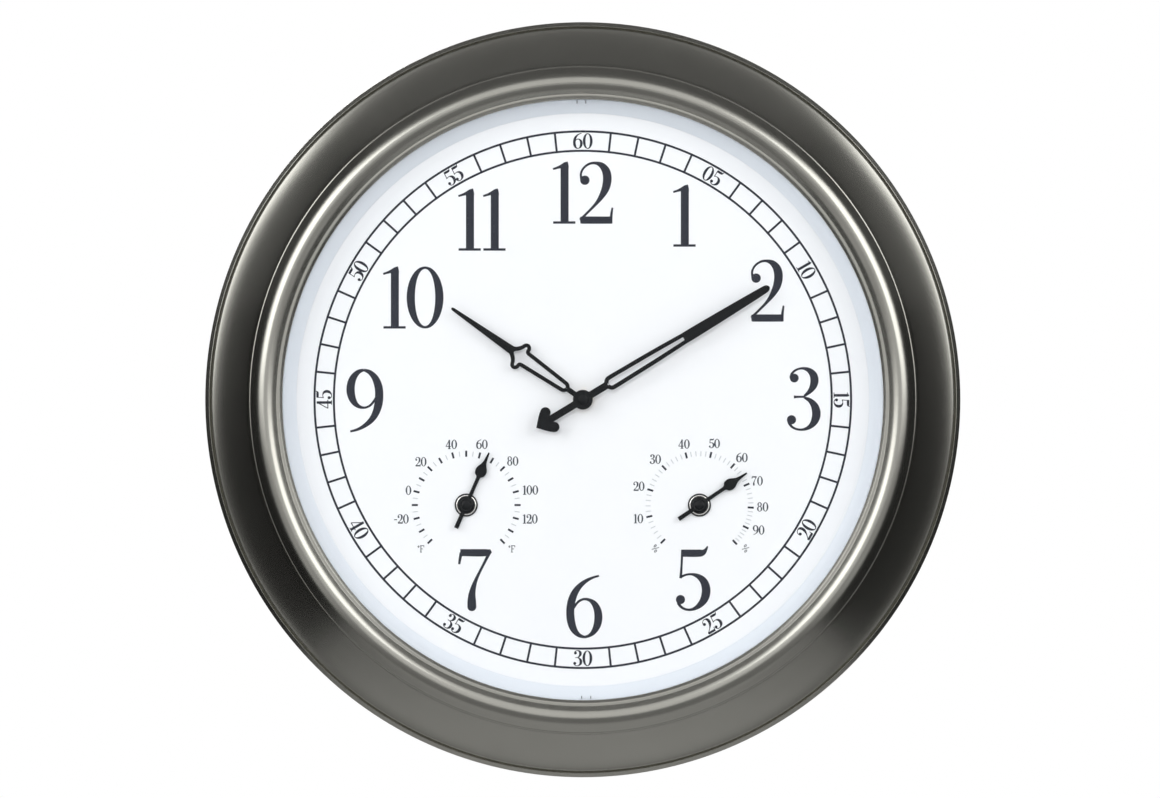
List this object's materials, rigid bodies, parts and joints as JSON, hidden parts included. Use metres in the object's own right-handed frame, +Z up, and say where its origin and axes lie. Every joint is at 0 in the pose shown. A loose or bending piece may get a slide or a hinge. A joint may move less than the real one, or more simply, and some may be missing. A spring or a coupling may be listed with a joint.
{
  "type": "outdoor wall clock with thermometer and hygrometer",
  "caption": "Round outdoor wall clock with a wide coved bezel, white dial with minute track, fretted hands, and a small thermometer and hygrometer low on the dial.",
  "frame": {"origin": "where the hands' axis meets the wall, in the plane of the rear cover's bearing face", "axes": "+Z up, +X to the right as seen from the front, the dial faces -Y and the wall is at +Y"},
  "size_m": [0.4572, 0.0486, 0.4572],
  "materials": {
    "pewter_bezel": "satin pewter metallic paint on moulded plastic",
    "clear_lens": "clear flat glass",
    "black_rubber": "matt moulded rubber",
    "white_ring": "smooth white moulding",
    "white_dial": "matt white with printed numerals and scales",
    "black_plastic": "fine spark texture",
    "grey_plastic": "smooth moulding",
    "screw_steel": "zinc plated",
    "brass_parts": "turned brass",
    "copper_windings": "enamelled copper wire",
    "ferrite": "dark sintered ferrite",
    "gear_nylon": "natural moulded plastic",
    "green_board": "solder resist",
    "cell_jacket": "plain dark jacket with a bare metal end",
    "black_hands": "satin black paint",
    "silver_collar": "bright nickel"
  },
  "bodies": {
    "case": {"bezel": "pewter_bezel", "lens": "clear_lens", "lens_gasket": "black_rubber", "dial_ring": "white_ring", "dial_plate": "white_dial", "rear_cover": "black_plastic", "cover_seal": "black_rubber", "cover_screw_1": "screw_steel", "cover_screw_2": "screw_steel", "cover_screw_3": "screw_steel", "cover_screw_4": "screw_steel", "cover_screw_5": "screw_steel", "cover_screw_6": "screw_steel", "ring_screw_1": "screw_steel", "ring_screw_2": "screw_steel", "ring_screw_3": "screw_steel", "dial_screw_1": "screw_steel", "dial_screw_2": "screw_steel", "dial_screw_3": "screw_steel", "movement_base": "black_plastic", "movement_cover": "black_plastic", "train_bridge": "grey_plastic", "rear_washer": "black_rubber", "front_washer": "brass_parts", "mounting_nut": "brass_parts", "circuit_board": "green_board", "control_chip": "black_plastic", "quartz_crystal": "screw_steel", "antenna_rod": "ferrite", "antenna_coil": "copper_windings", "motor_stator": "screw_steel", "coil_core": "screw_steel", "motor_coil": "copper_windings", "battery": "cell_jacket", "contact_positive": "screw_steel", "contact_negative": "screw_steel", "case_screw_1": "screw_steel", "case_screw_2": "screw_steel", "thermometer_cup": "black_plastic", "thermometer_strip": "brass_parts", "thermometer_collar": "silver_collar", "hygrometer_cup": "black_plastic", "hygrometer_strip": "brass_parts", "hygrometer_collar": "silver_collar"},
    "minute_train": {"centre_wheel": "brass_parts", "minute_hand": "black_hands", "hand_cap": "black_hands"},
    "hour_train": {"hour_wheel": "gear_nylon", "hour_hand": "black_hands"},
    "reverse_gear": {"reverse_wheel": "gear_nylon"},
    "second_gear": {"second_wheel": "gear_nylon"},
    "first_gear": {"first_wheel": "gear_nylon"},
    "rotor_gear": {"rotor": "ferrite"},
    "thermometer_needle": {"thermometer_arbor": "screw_steel", "thermometer_pointer": "black_hands"},
    "hygrometer_needle": {"hygrometer_arbor": "screw_steel", "hygrometer_pointer": "black_hands"},
    "set_key": {"set_button": "grey_plastic"},
    "zone_key": {"zone_button": "grey_plastic"},
    "wave_key": {"wave_button": "grey_plastic"}
  },
  "joints": [
    {"name": "minute_turn", "type": "hinge", "parent": "case", "child": "minute_train", "pos_m": [0, 0, 0], "axis": [0, 1, 0], "continuous": true},
    {"name": "hour_turn", "type": "hinge", "parent": "case", "child": "hour_train", "pos_m": [0, 0, 0], "axis": [0, 1, 0], "continuous": true},
    {"name": "reverse_turn", "type": "hinge", "parent": "case", "child": "reverse_gear", "pos_m": [0.00705, 0, -0.00257], "axis": [0, 1, 0], "continuous": true},
    {"name": "second_turn", "type": "hinge", "parent": "case", "child": "second_gear", "pos_m": [-0.004, 0, 0.00693], "axis": [0, 1, 0], "continuous": true},
    {"name": "first_turn", "type": "hinge", "parent": "case", "child": "first_gear", "pos_m": [-0.0004, 0, 0.01316], "axis": [0, 1, 0], "continuous": true},
    {"name": "rotor_turn", "type": "hinge", "parent": "case", "child": "rotor_gear", "pos_m": [0.00618, 0, 0.01556], "axis": [0, 1, 0], "continuous": true},
    {"name": "thermometer_turn", "type": "hinge", "parent": "case", "child": "thermometer_needle", "pos_m": [-0.0705, 0, -0.0637], "axis": [0, 1, 0], "range_deg": [-158.7, 111.3], "stiffness_Nm_per_rad": 0.002, "deforming": ["thermometer_strip"]},
    {"name": "hygrometer_turn", "type": "hinge", "parent": "case", "child": "hygrometer_needle", "pos_m": [0.0705, 0, -0.0637], "axis": [0, 1, 0], "range_deg": [-190.7, 80.4], "stiffness_Nm_per_rad": 0.002, "deforming": ["hygrometer_strip"]},
    {"name": "set_press", "type": "slide", "parent": "case", "child": "set_key", "axis": [0, -1, 0], "range_m": [0, 0.0008], "stiffness_N_per_m": 300},
    {"name": "zone_press", "type": "slide", "parent": "case", "child": "zone_key", "axis": [0, -1, 0], "range_m": [0, 0.0008], "stiffness_N_per_m": 300},
    {"name": "wave_press", "type": "slide", "parent": "case", "child": "wave_key", "axis": [0, -1, 0], "range_m": [0, 0.0008], "stiffness_N_per_m": 300}
  ],
  "couplings": [
    {"joint": "hour_turn", "follows": "minute_turn", "ratio": 0.083333},
    {"joint": "reverse_turn", "follows": "minute_turn", "ratio": -0.33333},
    {"joint": "second_turn", "follows": "minute_turn", "ratio": -4},
    {"joint": "first_turn", "follows": "minute_turn", "ratio": 20},
    {"joint": "rotor_turn", "follows": "minute_turn", "ratio": -120}
  ]
}
